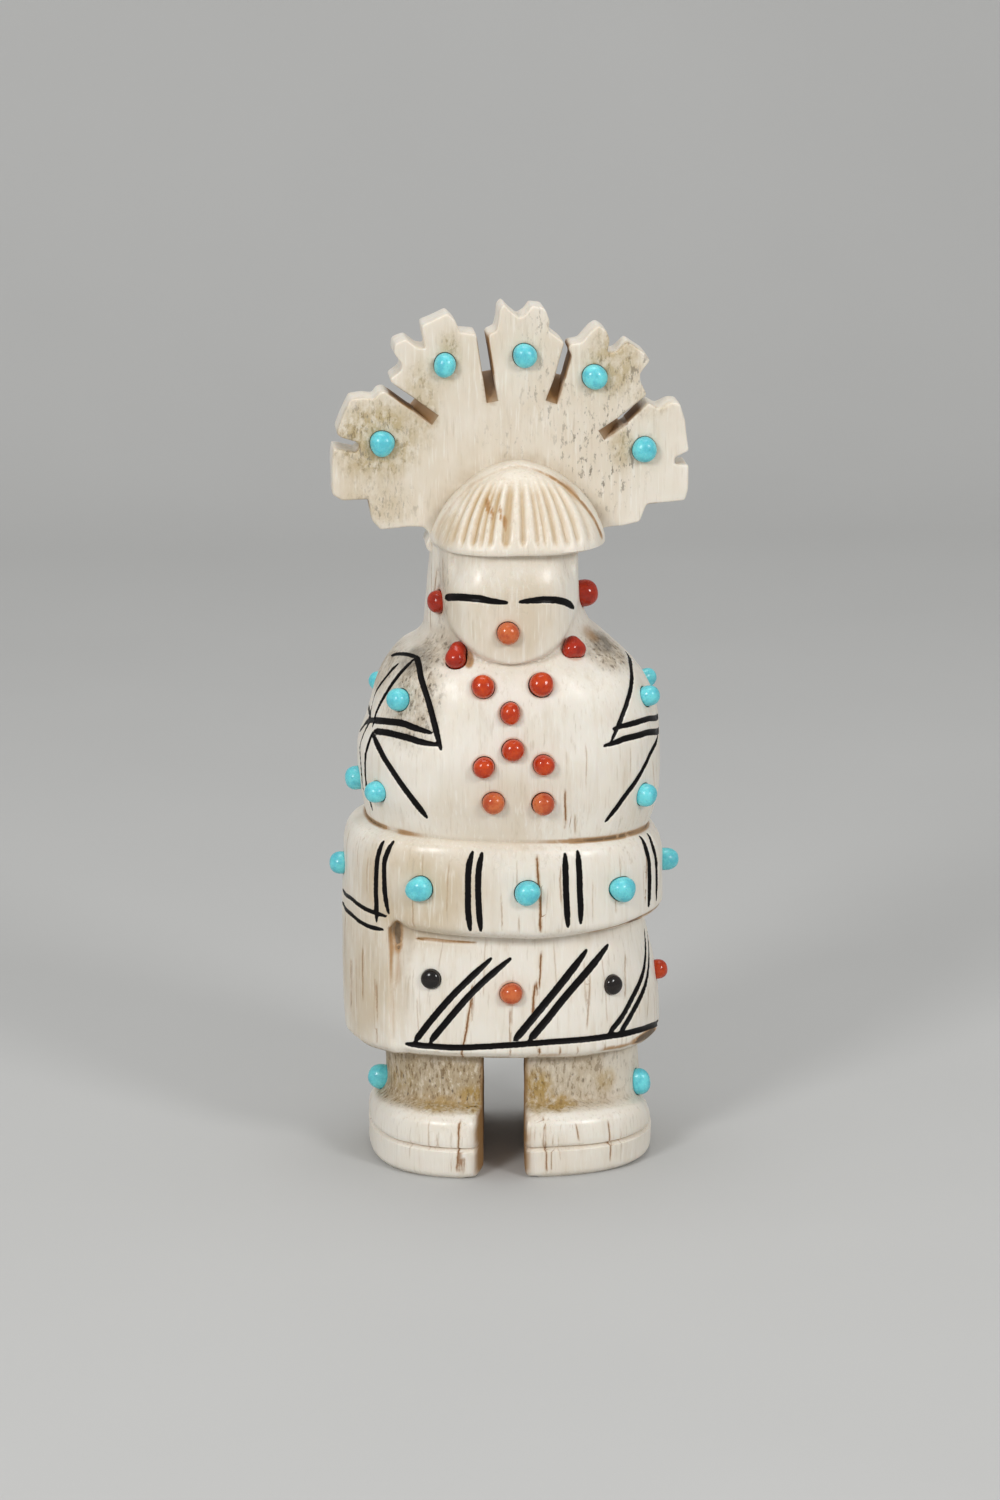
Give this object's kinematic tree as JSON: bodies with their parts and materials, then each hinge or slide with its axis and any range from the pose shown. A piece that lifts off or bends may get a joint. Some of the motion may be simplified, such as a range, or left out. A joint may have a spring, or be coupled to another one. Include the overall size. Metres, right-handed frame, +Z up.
{
  "type": "antler fetish carving",
  "caption": "Small standing maiden figure carved from antler, with a fan-shaped stepped headdress, a belted skirt and inlaid stone beads. A display carving.",
  "frame": {"origin": "on the surface it stands on, under the middle of the figure's bounding box, beads included", "axes": "+Z up, +X to the right of a front view, +Y towards the back; the face looks along -Y. Node names say left and right as a front view shows them."},
  "size_m": [0.0358, 0.026, 0.0862],
  "materials": {
    "antler": "polished antler, satin, creamy white with brown grain",
    "turquoise": "polished sky blue turquoise",
    "coral": "polished red-orange coral",
    "jet": "glossy black jet"
  },
  "bodies": {
    "root": {"antler_carving": "antler", "coral_chest_1": "coral", "coral_chest_2": "coral", "coral_chest_3": "coral", "coral_chest_4": "coral", "coral_chest_5": "coral", "coral_chest_6": "coral", "coral_chest_7": "coral", "coral_chest_8": "coral", "coral_face": "coral", "coral_left_ear": "coral", "coral_neck_1": "coral", "coral_neck_2": "coral", "coral_right_ear": "coral", "coral_skirt_1": "coral", "coral_skirt_2": "coral", "coral_skirt_3": "coral", "jet_skirt_1": "jet", "jet_skirt_2": "jet", "jet_skirt_3": "jet", "jet_skirt_4": "jet", "turquoise_belt_1": "turquoise", "turquoise_belt_2": "turquoise", "turquoise_belt_3": "turquoise", "turquoise_belt_4": "turquoise", "turquoise_belt_5": "turquoise", "turquoise_belt_6": "turquoise", "turquoise_belt_7": "turquoise", "turquoise_belt_8": "turquoise", "turquoise_headdress_1": "turquoise", "turquoise_headdress_2": "turquoise", "turquoise_headdress_3": "turquoise", "turquoise_headdress_4": "turquoise", "turquoise_headdress_5": "turquoise", "turquoise_left_arm_1": "turquoise", "turquoise_left_arm_2": "turquoise", "turquoise_left_arm_3": "turquoise", "turquoise_left_arm_4": "turquoise", "turquoise_left_leg": "turquoise", "turquoise_right_arm_1": "turquoise", "turquoise_right_arm_2": "turquoise", "turquoise_right_arm_3": "turquoise", "turquoise_right_arm_4": "turquoise", "turquoise_right_leg": "turquoise"}
  },
  "joints": []
}
